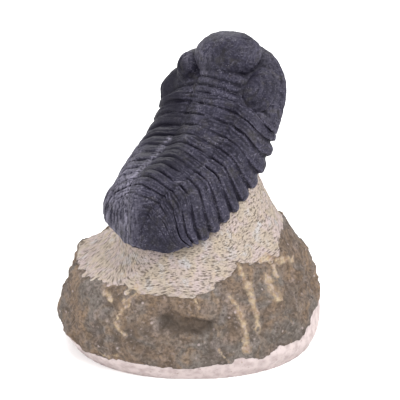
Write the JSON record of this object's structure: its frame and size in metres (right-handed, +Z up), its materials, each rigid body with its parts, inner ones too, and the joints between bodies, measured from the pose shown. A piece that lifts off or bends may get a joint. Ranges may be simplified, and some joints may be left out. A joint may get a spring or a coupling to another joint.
{
  "type": "fossil trilobite",
  "caption": "Dark ribbed trilobite with a domed head, raised eyes and a curled tail, standing up at a slant from a pale prepared limestone neck on a rounded rough stone base.",
  "frame": {"origin": "centre of the bounding box seen from above, on the plane of the flat ground base", "axes": "+Z up from the flat base, -Y towards the front of the picture, +X to the right of the picture; the animal heads up, back and to the right"},
  "size_m": [0.081, 0.065, 0.0908],
  "materials": {
    "fossil": "dark blue-grey calcite, satin, with fine pale scratches and dust in the grooves",
    "matrix": "matt limestone: pale tool-marked zone round the fossil, mottled brown skin below, pale ground rim at the bottom"
  },
  "bodies": {
    "root": {"trilobite": "fossil", "matrix": "matrix"}
  },
  "joints": []
}
